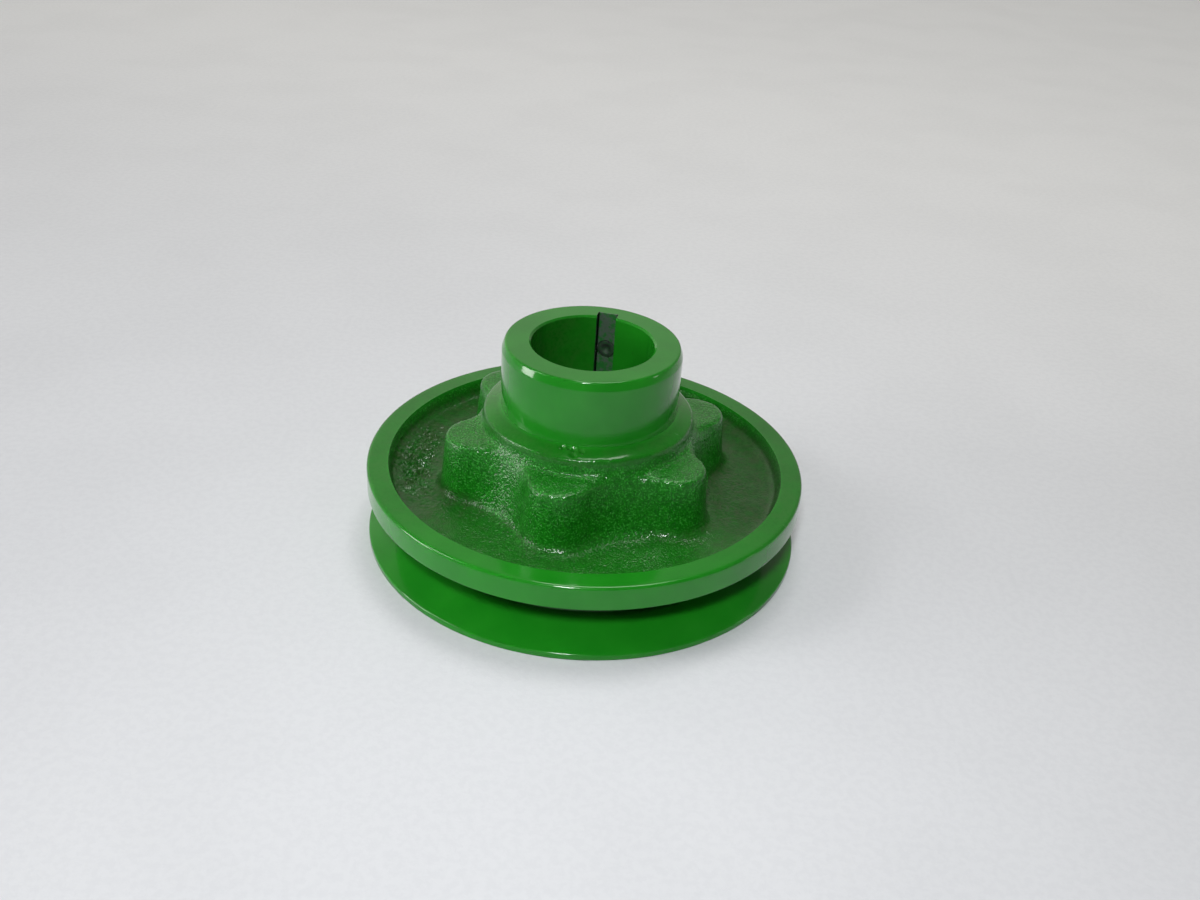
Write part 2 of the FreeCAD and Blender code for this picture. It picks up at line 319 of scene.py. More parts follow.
def spaced(run, pitch):
    """The same run of points, with long stretches divided into steps of about the pitch."""
    out = [run[0]]
    for a, b in zip(run, run[1:]):
        count = max(1, int(round(np.linalg.norm(b - a) / pitch)))
        out += [a + (b - a) * (k + 1) / count for k in range(count)]
    return np.array(out)


def revolve_run(run, thetas):
    """A run of (r, z) points as rows of a lathe grid: radius and height, each rows by columns."""
    return np.tile(run[:, :1], (1, len(thetas))), np.tile(run[:, 1:], (1, len(thetas)))


def to_points(radius, height, thetas):
    """Rows of radius and height, as points in space."""
    return np.stack([radius * np.cos(thetas), radius * np.sin(thetas), height], -1)


def grid_mesh(name, points, closed_rows):
    """A mesh from rows of closed loops; closed_rows also joins the last row to the first."""
    rows, columns = points.shape[:2]
    index = np.arange(rows * columns).reshape(rows, columns)
    upper = np.roll(index, -1, axis=0) if closed_rows else index[1:]
    lower = index if closed_rows else index[:-1]
    corners = [lower, np.roll(lower, -1, 1), np.roll(upper, -1, 1), upper]
    mesh = bpy.data.meshes.new(name)
    mesh.from_pydata(points.reshape(-1, 3), [], np.stack(corners, -1).reshape(-1, 4))
    mesh.update()
    return mesh


def new_object(name, mesh):
    """Links a mesh to the scene as an object."""
    obj = bpy.data.objects.new(name, mesh)
    bpy.context.scene.collection.objects.link(obj)
    return obj


def finish_mesh(mesh, sharp_degrees):
    """Welds coincident points, points the faces outwards and keeps true corners crisp."""
    work = bmesh.new()
    work.from_mesh(mesh)
    bmesh.ops.remove_doubles(work, verts=work.verts, dist=1e-7)
    bmesh.ops.dissolve_degenerate(work, edges=work.edges, dist=1e-8)
    bmesh.ops.recalc_face_normals(work, faces=work.faces)
    work.to_mesh(mesh)
    work.free()
    mesh.shade_smooth()
    mesh.set_sharp_from_angle(angle=math.radians(sharp_degrees))


def cut_holes(obj, holes):
    """Cuts holes out of a closed mesh. Each is a run of (r, z) steps and a matrix to place it."""
    thetas = np.arange(HOLE_COLUMNS) * TURN / HOLE_COLUMNS
    work = bmesh.new()
    for run, place in holes:
        hole = grid_mesh("hole", to_points(*revolve_run(np.array(run), thetas), thetas), False)
        hole.transform(place)
        work.from_mesh(hole)
        bpy.data.meshes.remove(hole)
    bmesh.ops.remove_doubles(work, verts=work.verts, dist=1e-7)
    bmesh.ops.recalc_face_normals(work, faces=work.faces)
    cutter = new_object("cutter", bpy.data.meshes.new("cutter"))
    work.to_mesh(cutter.data)
    work.free()
    modifier = obj.modifiers.new("holes", "BOOLEAN")
    modifier.operation = "DIFFERENCE"
    modifier.solver = "MANIFOLD"
    modifier.object = cutter
    evaluated = obj.evaluated_get(bpy.context.evaluated_depsgraph_get())
    cut = bpy.data.meshes.new_from_object(evaluated)
    obj.modifiers.clear()
    obj.data = cut
    obj.data.set_sharp_from_angle(angle=math.radians(CASTING_CRISP))
    bpy.data.objects.remove(cutter)


def screw_places():
    """Axis point, lowest and highest height of each flange screw, from the frame."""
    places = []
    for number in range(1, LOBE_COUNT + 1):
        low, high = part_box("flange_screw_%d" % number)
        places.append(((low.x + high.x) / 2, (low.y + high.y) / 2, low.z, high.z))
    return places


def lying_along(axis):
    """Turns a piece modelled along +Z so that it lies along an axis."""
    return axis.to_track_quat("Z", "Y").to_matrix().to_4x4()


def extent_along(node, axis):
    """How far a CAD node reaches along an axis through the origin, lowest and highest."""
    reach = [vertex.co.dot(axis) for vertex in frame["nodes"][node].data.vertices]
    return min(reach), max(reach)


# ---------------------------------------------------------------- hub casting

def hollow_share(azimuth):
    """0 in the middle of a lobe and 1 in the middle of the hollow between two lobes."""
    return np.sin(LOBE_COUNT / 2 * (azimuth - LOBE_AZ)) ** 2


def lobed_radius(thetas, lobe_radius, valley_r):
    """Polar radius of the boss outline: round lobe tips joined by tangent hollow valleys."""
    half_pitch = math.pi / LOBE_COUNT
    c = LOBE_CENTRE_R
    cosine = math.cos(half_pitch)
    top = c ** 2 + valley_r ** 2 - 2 * c * valley_r * cosine - lobe_radius ** 2
    valley_radius = top / (2 * (lobe_radius - valley_r + c * cosine))
    valley_centre = valley_r + valley_radius
    to_valley = np.array([valley_centre * cosine - c, valley_centre * math.sin(half_pitch)])
    tangent = np.array([c, 0]) + to_valley * lobe_radius / np.linalg.norm(to_valley)
    tangent_az = math.atan2(tangent[1], tangent[0])
    phase = np.abs((thetas - LOBE_AZ + half_pitch) % (2 * half_pitch) - half_pitch)
    tip_phase = np.minimum(phase, tangent_az)
    tip = c * np.cos(tip_phase) + np.sqrt(lobe_radius ** 2 - (c * np.sin(tip_phase)) ** 2)
    rest = half_pitch - np.maximum(phase, tangent_az)
    half_chord = np.sqrt(valley_radius ** 2 - (valley_centre * np.sin(rest)) ** 2)
    valley = valley_centre * np.cos(rest) - half_chord
    return np.where(phase < tangent_az, tip, valley)


def cast_skin_rows(thetas):
    """Ledge, boss and web as one sheet of rows, with soft cast corners instead of sharp ones."""
    columns = len(thetas)
    lobe_top = lobed_radius(thetas, LOBE_TOP_RADIUS, VALLEY_TOP_R)
    lobe_foot = lobed_radius(thetas, LOBE_FOOT_RADIUS, VALLEY_FOOT_R)
    key_r = np.stack([
        np.full(columns, HUB_R), np.full(columns, LEDGE_R), np.full(columns, LEDGE_FOOT_R),
        lobe_top, lobe_foot, np.full(columns, WEB_OUTER_R), np.full(columns, RIM_FACE_INNER_R),
    ])
    key_z = np.array([
        HUB_STEP_Z, LEDGE_Z, LOBE_TOP_Z, LOBE_TOP_Z, WEB_TOP_Z, WEB_TOP_Z, RIM_FACE_Z,
    ])
    hollow = hollow_share(thetas)
    softness = np.tile(np.array([CORNER_BLUR]).T, (1, columns)) * MM
    softness[2] += LEDGE_FOOT_HOLLOW_BLUR * hollow
    softness[3] += BOSS_EDGE_HOLLOW_BLUR * hollow
    radius = np.empty((PROFILE_STEPS, columns))
    height = np.empty((PROFILE_STEPS, columns))
    wanted = np.empty((PROFILE_STEPS, columns))
    for j in range(columns):
        steps = np.hypot(np.diff(key_r[:, j]), np.diff(key_z))
        along = np.concatenate([[0], np.cumsum(steps)])
        s = np.linspace(0, along[-1], PROFILE_STEPS)
        radius[:, j] = np.interp(s, along, key_r[:, j])
        height[:, j] = np.interp(s, along, key_z)
        wanted[:, j] = np.interp(s, along, softness[:, j])
    step = along[-1] / PROFILE_STEPS
    ladder = np.array(BLUR_LADDER) * MM
    level = np.interp(wanted, ladder, np.arange(len(ladder)))
    smooth_r = [blurred_rows(radius, sigma / step) for sigma in ladder]
    smooth_z = [blurred_rows(height, sigma / step) for sigma in ladder]
    radius = np.zeros_like(radius)
    height = np.zeros_like(height)
    for k in range(len(ladder)):
        weight = np.clip(1 - np.abs(level - k), 0, 1)
        radius += weight * smooth_r[k]
        height += weight * smooth_z[k]
    picks = np.linspace(0, PROFILE_STEPS - 1, CAST_ROWS + 1)
    low = np.floor(picks).astype(int).clip(0, PROFILE_STEPS - 2)
    share = (picks - low)[:, None]
    radius = radius[low] * (1 - share) + radius[low + 1] * share
    height = height[low] * (1 - share) + height[low + 1] * share
    return radius, height


def blurred_rows(rows, sigma):
    """Gaussian blur down the rows, with the first and last row held where they are."""
    reach = int(3 * sigma) + 1
    before = 2 * rows[0] - rows[reach:0:-1]
    after = 2 * rows[-1] - rows[-2:-reach - 2:-1]
    padded = np.concatenate([before, rows, after])
    taps = np.exp(-0.5 * (np.arange(-reach, reach + 1) / sigma) ** 2)
    taps /= taps.sum()
    out = np.zeros_like(rows)
    for k, tap in enumerate(taps):
        out += tap * padded[k:k + len(rows)]
    return out


def cast_relief(flat):
    """How far the cast skin stands out at each point, in mm: grain, lumps and the rough patch."""
    radius = np.hypot(flat[:, 0], flat[:, 1])
    azimuth = np.arctan2(flat[:, 1], flat[:, 0])
    beyond_ledge = smooth_step(LEDGE_R - 1.5 * MM, LEDGE_R + 0.5 * MM, radius)
    boss = smooth_step(*BOSS_FADE, radius)
    on_web = smooth_step(*WEB_FADE, radius)
    shown = GRAIN_ON_WEB + (GRAIN_ON_BOSS + GRAIN_IN_HOLLOWS * hollow_share(azimuth)) * boss
    grain = layered_noise(flat, SAND_GRAIN) * shown * (1 + layered_noise(flat, GRAIN_DRIFT))
    lumps = layered_noise(flat, LUMPS)
    relief = beyond_ledge * (grain + lumps) + LUMPS_ON_LEDGE * (1 - beyond_ledge) * lumps
    relief = relief + on_web * layered_noise(flat, WEB_WAVES)
    turn = (azimuth - SCAB_AZ) % TURN
    turn = np.minimum(turn, TURN - turn)
    scab = np.exp(-(turn / SCAB_TURN) ** 2) * np.exp(-((radius - SCAB_R) / SCAB_REACH) ** 2)
    pits = np.abs(lattice_noise(flat, *COARSE_PIT))
    pits = pits + FINE_PIT_SHARE * np.abs(lattice_noise(flat, *FINE_PIT))
    return relief + on_web * scab * (SCAB_PITS * pits - SCAB_SINK)


def roughened(points):
    """Pushes the cast skin in and out along its normals: relief and drops of paint."""
    down = np.gradient(points, axis=0)
    around = np.roll(points, -1, 1) - np.roll(points, 1, 1)
    normals = np.cross(around, down)
    normals /= np.linalg.norm(normals, axis=-1, keepdims=True)
    normals = normals.reshape(-1, 3)
    flat = points.reshape(-1, 3)
    rows, columns = points.shape[:2]
    edge = np.repeat(np.minimum(np.arange(rows), rows - 1 - np.arange(rows)), columns)
    push = cast_relief(flat) * smooth_step(*EDGE_FADE_ROWS, edge) * MM
    for degrees, run_r, run_size, run_height in PAINT_RUNS:
        run_az = math.radians(degrees)
        across = flat[:, 0] - run_r * MM * math.cos(run_az)
        along = flat[:, 1] - run_r * MM * math.sin(run_az)
        away = np.hypot(across, along)
        drop = np.exp(-(away / (run_size * MM)) ** 2) * (flat[:, 2] > 40 * MM)
        push += run_height * MM * drop
    return (flat + normals * push[:, None]).reshape(points.shape)


def bore_radius(thetas):
    """Polar radius of the bore with its keyway."""
    turn = (thetas - KEY_AZ + math.pi) % TURN - math.pi
    mouth = math.asin(KEY_HALF_WIDTH / BORE_R)
    corner = math.atan2(KEY_HALF_WIDTH, KEY_FLOOR_R)
    side = KEY_HALF_WIDTH / np.sin(np.clip(np.abs(turn), corner, mouth))
    floor = KEY_FLOOR_R / np.cos(np.clip(turn, -corner, corner))
    return np.where(np.abs(turn) >= mouth, BORE_R, np.where(np.abs(turn) > corner, side, floor))


def casting_thetas():
    """Column azimuths: evenly spaced, with extra ones on the keyway's corners."""
    even = np.arange(CASTING_COLUMNS) * TURN / CASTING_COLUMNS
    mouth = math.asin(KEY_HALF_WIDTH / BORE_R)
    corner = math.atan2(KEY_HALF_WIDTH, KEY_FLOOR_R)
    exact = KEY_AZ + np.array([-mouth, -corner, corner, mouth])
    near = np.abs(even[:, None] - exact[None, :]).min(1) < LEAST_COLUMN_GAP
    return np.sort(np.concatenate([even[~near], exact]))


def build_hub_casting():
    """The whole hub casting as one closed lathe grid, then its holes."""
    thetas = casting_thetas()
    bore = bore_radius(thetas)[None, :]
    chamfered = np.maximum(bore, BORE_R + BORE_CHAMFER)
    bore_z = np.arange(BORE_CHAMFER, HUB_TOP_Z - BORE_CHAMFER, BORE_ROW_PITCH)
    bore_z = np.append(bore_z, HUB_TOP_Z - BORE_CHAMFER)
    wall_r = np.tile(bore, (len(bore_z), 1))
    wall_z = np.tile(bore_z[:, None], (1, len(thetas)))
    hub_face_r = HUB_R - HUB_BEVEL_R
    face_end_r = hub_face_r - HUB_FACE_MARGIN
    shares = np.linspace(0, 1, 7)[:-1, None]
    face_r = chamfered * (1 - shares) + face_end_r * shares
    face_z = np.full(face_r.shape, HUB_TOP_Z)
    hub_run = spaced(rounded([
        (face_end_r, HUB_TOP_Z), (hub_face_r, HUB_TOP_Z, HUB_EDGE_ROUND),
        (HUB_R, HUB_TOP_Z - HUB_BEVEL_Z, HUB_BEVEL_ROUND), (HUB_R, HUB_STEP_Z),
    ]), HUB_ROW_PITCH)[:-1]
    rim_run = spaced(rounded([
        (RIM_FACE_INNER_R, RIM_FACE_Z), (RIM_R, RIM_FACE_Z, RIM_EDGE_ROUND),
        (RIM_R, BAND_LOW_Z, BAND_EDGE_ROUND),
        (ROOT_R, PARTING_Z, 0.3 * MM), (ROOT_R - 3 * MM, PARTING_Z), (SPIGOT_R, PARTING_Z),
    ], 6), RIM_ROW_PITCH)[1:]
    spigot_run = spaced(rounded([
        (SPIGOT_R, PARTING_Z), (SPIGOT_R, 0, 0.5 * MM), (SPIGOT_R - 2 * MM, 0),
    ]), HUB_ROW_PITCH)[1:]
    end_r = (SPIGOT_R - 2 * MM) * (1 - shares[1:]) + chamfered * shares[1:]
    skin = roughened(to_points(*cast_skin_rows(thetas), thetas))
    parts = [
        to_points(wall_r, wall_z, thetas),
        to_points(face_r, face_z, thetas),
        to_points(*revolve_run(hub_run, thetas), thetas),
        skin,
        to_points(*revolve_run(rim_run, thetas), thetas),
        to_points(*revolve_run(spigot_run, thetas), thetas),
        to_points(end_r, np.zeros(end_r.shape), thetas),
        to_points(chamfered, np.zeros(chamfered.shape), thetas),
    ]
    mesh = grid_mesh("painted_hub_casting", np.concatenate(parts), True)
    casting = new_object("painted_hub_casting", mesh)
    finish_mesh(mesh, CASTING_CRISP)
    below = PARTING_Z - 2 * MM
    tapped = [(0, below), (TAPPED_R, below), (TAPPED_R, TAPPED_TOP_Z), (0, TAPPED_TOP_Z)]
    holes = [(tapped, Matrix.Translation((x, y, 0))) for x, y, _, _ in screw_places()]
    for node, axis in (("keyway_set_screw", KEY_AXIS), ("side_set_screw", SIDE_AXIS)):
        low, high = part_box(node)
        hole_r = (high.z - low.z) / 2 + HOLE_CLEARANCE
        near, far = BORE_R - 8 * MM, HUB_R + 4 * MM
        drilled = [(0, near), (hole_r, near), (hole_r, far), (0, far)]
        upright = Matrix.Translation((0, 0, (low.z + high.z) / 2))
        holes.append((drilled, upright @ lying_along(axis)))
    cut_holes(casting, holes)
    return casting


# ---------------------------------------------------------------- lower flange

def build_lower_flange():
    """The loose flange: turned flank, lip and faces, with a cast dish underneath."""
    thetas = np.arange(FLANGE_COLUMNS) * TURN / FLANGE_COLUMNS
    turned = spaced(rounded([
        (FLANGE_LAND_INNER_R + 1 * MM, 0), (RIM_R, 0, 0.4 * MM), (RIM_R, LIP_Z, 0.6 * MM),
        (ROOT_R, LIP_Z + FLANK_RISE, 0.5 * MM), (ROOT_R, FLANGE_TOP_Z, 0.5 * MM),
        (FLANGE_BORE_R, FLANGE_TOP_Z, 0.3 * MM), (FLANGE_BORE_R, FLANGE_WEB_LOW_Z + 0.6 * MM),
    ], 6), FLANGE_ROW_PITCH)
    dish = spaced(rounded([
        (FLANGE_BORE_R, FLANGE_WEB_LOW_Z + 0.6 * MM), (FLANGE_BORE_R, FLANGE_WEB_LOW_Z, 0.5 * MM),
        (FLANGE_DISH_R, FLANGE_WEB_LOW_Z, 2.8 * MM), (FLANGE_LAND_INNER_R, 0, 0.5 * MM),
        (FLANGE_LAND_INNER_R + 1 * MM, 0),
    ], 9), DISH_ROW_PITCH)[1:-1]
    points = np.concatenate([
        to_points(*revolve_run(turned, thetas), thetas),
        to_points(*revolve_run(dish, thetas), thetas),
    ])
    flat = points.reshape(-1, 3)
    radius = np.hypot(flat[:, 0], flat[:, 1])
    outward = smooth_step(29 * MM, 31 * MM, radius)
    inward = smooth_step(FLANGE_LAND_INNER_R, FLANGE_LAND_INNER_R - 2 * MM, radius)
    cast = outward * inward * (flat[:, 2] < FLANGE_WEB_LOW_Z + 0.1 * MM)
    relief = layered_noise(flat, DISH_GRAIN) + layered_noise(flat, DISH_LUMPS)
    points = flat + np.array([0, 0, 1]) * (relief * cast * MM)[:, None]
    points = points.reshape(len(turned) + len(dish), FLANGE_COLUMNS, 3)
    mesh = grid_mesh("painted_lower_flange", points, True)
    flange = new_object("painted_lower_flange", mesh)
    finish_mesh(mesh, CASTING_CRISP)
    below, above = -1 * MM, FLANGE_TOP_Z + 1 * MM
    stepped = [
        (0, below), (SPOTFACE_R, below), (SPOTFACE_R, SPOTFACE_Z),
        (SCREW_CLEAR_R, SPOTFACE_Z), (SCREW_CLEAR_R, above), (0, above),
    ]
    cut_holes(flange, [(stepped, Matrix.Translation((x, y, 0))) for x, y, _, _ in screw_places()])
    return flange


# ---------------------------------------------------------------- screws

def hex_radius(thetas, flats):
    """Polar radius of a hexagon."""
    return flats / 2 / np.cos((thetas + math.pi / 6) % (math.pi / 3) - math.pi / 6)


def thread_rows(thetas, radius, low_z, high_z, pitch):
    """Rows of a helical thread with crests at the radius, easing in and out at its ends."""
    depth = THREAD_DEPTH * pitch
    count = int((high_z - low_z) / pitch * THREAD_ROWS_PER_TURN)
    z = np.linspace(low_z, high_z, count + 1)[:, None]
    phase = (z / pitch - thetas[None, :] / TURN) % 1.0
    tooth = np.clip(np.abs(phase - 0.5) * 2.4 - 0.12, 0, 1)
    ease = smooth_step(0, pitch, z - low_z) * smooth_step(0, pitch, high_z - z)
    return radius - depth * tooth * ease, np.tile(z, (1, len(thetas)))


def stacked(pieces, thetas):
    """Joins runs of (radius, height) rows; numbers stand for whole rows."""
    rows = []
    for radius, height in pieces:
        radius = np.atleast_2d(np.asarray(radius, float))
        height = np.atleast_2d(np.asarray(height, float))
        count = max(radius.shape[0], height.shape[0])
        shape = (count, len(thetas))
        radius = np.broadcast_to(radius, shape)
        rows.append(to_points(radius, np.broadcast_to(height, shape), thetas))
    return np.concatenate(rows)


def hex_screw_mesh(name, low_z, high_z):
    """A hexagon-head cap screw, head down: chamfered head, washer face and threaded shank."""
    thetas = np.arange(CAP_SCREW_COLUMNS) * TURN / CAP_SCREW_COLUMNS
    flats = hex_radius(thetas, HEX_FLATS)
    face_r = 0.46 * HEX_FLATS
    chamfer = (flats - face_r) * math.tan(math.radians(28))
    seat_z = low_z + HEX_HEAD
    rows = [
        (0, low_z + 0.25 * MM), (0.28 * HEX_FLATS, low_z + 0.25 * MM), (0.34 * HEX_FLATS, low_z),
        (face_r - 0.15 * MM, low_z), (face_r + 0.1 * MM, low_z + 0.03 * MM),
        (flats - 0.12 * MM, low_z + chamfer - 0.03 * MM), (flats, low_z + chamfer + 0.12 * MM),
        (flats, seat_z - 0.55 * MM), (flats - 0.15 * MM, seat_z - 0.4 * MM),
        (0.47 * HEX_FLATS, seat_z - 0.38 * MM), (0.465 * HEX_FLATS, seat_z), (CAP_SHANK_R, seat_z),
        thread_rows(thetas, CAP_SHANK_R, seat_z + 1 * MM, high_z - 0.9 * MM, CAP_PITCH),
        (CAP_SHANK_R - 0.8 * MM, high_z), (0, high_z),
    ]
    mesh = grid_mesh(name, stacked(rows, thetas), False)
    finish_mesh(mesh, SCREW_CRISP)
    return mesh


def set_screw_mesh(name, radius, length, socket_flats, pitch):
    """A headless screw lying along +Z from its cup point, with a hexagon socket at the far end."""
    thetas = np.arange(SET_SCREW_COLUMNS) * TURN / SET_SCREW_COLUMNS
    socket = hex_radius(thetas, socket_flats)
    cup_r = radius * 0.55
    socket_z = length * 0.45
    rows = [
        (0, 0.9 * MM), (cup_r * 0.5, 0.5 * MM), (cup_r, 0), (cup_r + 0.15 * MM, 0),
        (radius - 0.6 * MM, 0.02 * MM), (radius - 0.15 * MM, 0.5 * MM),
        thread_rows(thetas, radius, 0.6 * MM, length - 0.4 * MM, pitch),
        (radius - 0.1 * MM, length - 0.35 * MM), (radius - 0.4 * MM, length),
        (socket + 0.25 * MM, length), (socket, length - 0.2 * MM), (socket, socket_z),
        (socket * 0.5, socket_z - 0.3 * MM), (0, socket_z - 0.5 * MM),
    ]
    mesh = grid_mesh(name, stacked(rows, thetas), False)
    finish_mesh(mesh, SCREW_CRISP)
    return mesh


def build_flange_screws():
    """The six cap screws, each turned a little differently, as tightening leaves them."""
    screws = []
    for number, (x, y, low_z, high_z) in enumerate(screw_places(), 1):
        mesh = hex_screw_mesh("hex_cap_screw_%d" % number, low_z, high_z)
        mesh.transform(Matrix.Translation((x, y, 0)) @ Matrix.Rotation(0.7 * number, 4, "Z"))
        screws.append(new_object("hex_cap_screw_%d" % number, mesh))
    return screws


def build_set_screw(name, node, axis, socket_flats, pitch):
    """A set screw laid along its joint's axis, where its CAD node is."""
    low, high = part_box(node)
    inner, outer = extent_along(node, axis)
    radius = (high.z - low.z) / 2
    mesh = set_screw_mesh(name, radius, outer - inner, socket_flats, pitch)
    place = Matrix.Translation(axis * inner + Vector((0, 0, (low.z + high.z) / 2)))
    mesh.transform(place @ lying_along(axis))
    return new_object(name, mesh)


# ---------------------------------------------------------------- materials

class Nodes:
    """A short way to write a material's node tree."""

    def __init__(self, name):
        self.material = bpy.data.materials.new(name)
        self.material.use_nodes = True
        self.tree = self.material.node_tree
        self.tree.nodes.clear()
        self.output = self.tree.nodes.new("ShaderNodeOutputMaterial")
        self.shader = self.tree.nodes.new("ShaderNodeBsdfPrincipled")
        self.tree.links.new(self.shader.outputs[0], self.output.inputs[0])
        self.place = self.tree.nodes.new("ShaderNodeTexCoord").outputs["Object"]

    def link(self, value, socket):
        """Feeds a socket from another node's output, or sets it to a constant."""
        if isinstance(value, bpy.types.NodeSocket):
            self.tree.links.new(value, socket)
        else:
            socket.default_value = value

    def math(self, operation, a, b=0.0, clamp=False):
        """The result of one arithmetic step."""
        node = self.tree.nodes.new("ShaderNodeMath")
        node.operation = operation
        node.use_clamp = clamp
        for value, socket in zip((a, b), node.inputs):
            self.link(value, socket)
        return node.outputs[0]

    def split(self, vector):
        """A vector's X, Y and Z."""
        node = self.tree.nodes.new("ShaderNodeSeparateXYZ")
        self.link(vector, node.inputs[0])
        return node.outputs[0], node.outputs[1], node.outputs[2]

    def noise(self, size, detail=2.0, roughness=0.5, distortion=0.0, vector=None):
        """Noise from 0 to 1 whose features are about this many metres across."""
        node = self.tree.nodes.new("ShaderNodeTexNoise")
        self.link(vector or self.place, node.inputs["Vector"])
        node.inputs["Scale"].default_value = 1.0 / size
        node.inputs["Detail"].default_value = detail
        node.inputs["Roughness"].default_value = roughness
        node.inputs["Distortion"].default_value = distortion
        return node.outputs[0]

    def ramp(self, value, stops):
        """A colour ramp from (position, colour) stops; grey levels may be plain numbers."""
        node = self.tree.nodes.new("ShaderNodeValToRGB")
        self.link(value, node.inputs[0])
        elements = node.color_ramp.elements
        while len(elements) < len(stops):
            elements.new(0.5)
        for element, (position, colour) in zip(elements, stops):
            red, green, blue = colour if isinstance(colour, tuple) else (colour, colour, colour)
            element.position = position
            element.color = (red, green, blue, 1)
        return node.outputs[0]

    def mix(self, share, a, b, blend="MIX"):
        """Mixes two colours by a share."""
        node = self.tree.nodes.new("ShaderNodeMix")
        node.data_type = "RGBA"
        node.blend_type = blend
        self.link(share, node.inputs[0])
        self.link((*a, 1) if isinstance(a, tuple) else a, node.inputs[6])
        self.link((*b, 1) if isinstance(b, tuple) else b, node.inputs[7])
        return node.outputs[2]

    def fade(self, value, low, high):
        """A smooth mask: 0 at low, 1 at high."""
        node = self.tree.nodes.new("ShaderNodeMapRange")
        node.interpolation_type = "SMOOTHSTEP"
        self.link(value, node.inputs[0])
        node.inputs[1].default_value = low
        node.inputs[2].default_value = high
        return node.outputs[0]

    def attribute(self, name):
        """A value stored on the mesh's points; 0 where a mesh has none of that name."""
        node = self.tree.nodes.new("ShaderNodeAttribute")
        node.attribute_name = name
        return node.outputs["Fac"]

    def bump(self, height, distance, strength=1.0, normal=None):
        """Bump from a height of 0 to 1 that stands for this many metres."""
        node = self.tree.nodes.new("ShaderNodeBump")
        self.link(height, node.inputs["Height"])
        node.inputs["Distance"].default_value = distance
        self.link(strength, node.inputs["Strength"])
        if normal is not None:
            self.link(normal, node.inputs["Normal"])
        return node.outputs[0]

    def radius(self):
        """Distance from the shaft's axis."""
        x, y, _ = self.split(self.place)
        squares = self.math("ADD", self.math("MULTIPLY", x, x), self.math("MULTIPLY", y, y))
        return self.math("SQRT", squares)


def turning_marks(n, normal):
    """Fine lathe rings under the paint: by radius on flat faces and by height on round ones."""
    _, _, z = n.split(n.place)
    along = n.math("ADD", n.radius(), z)
    node = n.tree.nodes.new("ShaderNodeTexNoise")
    node.noise_dimensions = "1D"
    n.link(n.math("MULTIPLY", along, 1 / (0.35 * MM)), node.inputs["W"])
    node.inputs["Scale"].default_value = 1.0
    node.inputs["Detail"].default_value = 3.0
    machined = n.math("SUBTRACT", 1.0, n.attribute("cast"), clamp=True)
    strength = n.math("MULTIPLY", machined, 0.35)
    return n.bump(node.outputs[0], 0.012 * MM, strength, normal)


def enamel_colour(n, cast, web, speck):
    """Paint colour: machined or cast, with painted shade in grain pits and painted glints on grain
    tops, then dust and painted shade, thin paint, painted shade in corners, and pale edges.
    """
    machined = n.ramp(n.noise(14 * MM, 3.0), MACHINED_GREENS)
    grainy = n.ramp(n.noise(2.2 * MM, 3.0, 0.6), CAST_GREENS)
    # Painted shade in the grain's pits and painted glints on its tops, following the bump's noise
    speck_light_share = n.math("MULTIPLY", n.math("SUBTRACT", 1.0, web), 0.50)
    pit_shade = n.math("MULTIPLY", n.fade(speck, 0.46, 0.38), speck_light_share)
    grainy = n.mix(pit_shade, grainy, PAINTED_PIT_SHADE_GREEN)
    grain_glint = n.math("MULTIPLY", n.fade(speck, 0.57, 0.66), speck_light_share)
    grainy = n.mix(grain_glint, grainy, PAINTED_GLINT_GREEN)
    colour = n.mix(cast, machined, grainy)
    blotches = n.fade(n.noise(5 * MM, 4.0, 0.65), 0.38, 0.62)
    flecks = n.fade(n.noise(1.1 * MM, 2.0, 0.6), 0.48, 0.64)
    # Dust mottling that also serves as painted shade, darker away from the lit front
    dust_and_shade = n.mix(flecks, n.mix(blotches, DUST_AND_SHADE_GREEN, DUST_AND_SHADE_OLIVE), DUST_AND_SHADE_DARK)
    colour = n.mix(n.math("MULTIPLY", web, 0.75), colour, dust_and_shade)
    thin = n.fade(n.noise(1.6 * MM, 4.0, 0.65), 0.40, 0.62)
    colour = n.mix(n.attribute("bare"), colour, n.mix(thin, THIN_GREEN, THIN_GREY))
    # Painted shade: the keyway's corners and the groove's bottom go nearly black
    colour = n.mix(n.attribute("crevice"), colour, PAINTED_SHADE_BLACK)
    # Convex edges turn lighter and greyer in broken patches
    pointed = n.tree.nodes.new("ShaderNodeNewGeometry").outputs["Pointiness"]
    broken = n.fade(n.noise(0.9 * MM, 4.0, 0.7), 0.45, 0.7)
    pale_edges = n.math("MULTIPLY", n.fade(pointed, 0.53, 0.60), broken)
    return n.mix(n.math("MULTIPLY", pale_edges, 0.35), colour, PALE_EDGE_GREEN)


def green_enamel(name):
    """Gloss green enamel: smooth over machined metal, grainy and darker over the cast skin."""
    n = Nodes(name)
    cast = n.attribute("cast")
    web = n.attribute("web")
    speck = n.noise(0.55 * MM, 1.0)
    n.link(enamel_colour(n, cast, web, speck), n.shader.inputs["Base Color"])
    shine = n.ramp(n.noise(5 * MM, 4.0, 0.6), [(0.3, 0.17), (0.7, 0.27)])
    grain_shine = n.ramp(n.noise(0.8 * MM, 3.0), [(0.3, 0.30), (0.7, 0.50)])
    n.link(n.mix(cast, shine, grain_shine), n.shader.inputs["Roughness"])
    n.shader.inputs["Specular IOR Level"].default_value = 0.1
    coat = n.math("SUBTRACT", 0.70, n.math("MULTIPLY", web, 0.25))
    n.link(coat, n.shader.inputs["Coat Weight"])
    n.shader.inputs["Coat Roughness"].default_value = 0.08
    normal = n.bump(n.noise(1.3 * MM, 2.0), 0.02 * MM, 0.5)
    normal = turning_marks(n, normal)
    rough = n.math("MULTIPLY", cast, n.math("SUBTRACT", 1.0, n.math("MULTIPLY", web, 0.5)))
    normal = n.bump(speck, 0.22 * MM, rough, normal)
    n.link(normal, n.shader.inputs["Normal"])
    n.link(normal, n.shader.inputs["Coat Normal"])
    return n.material


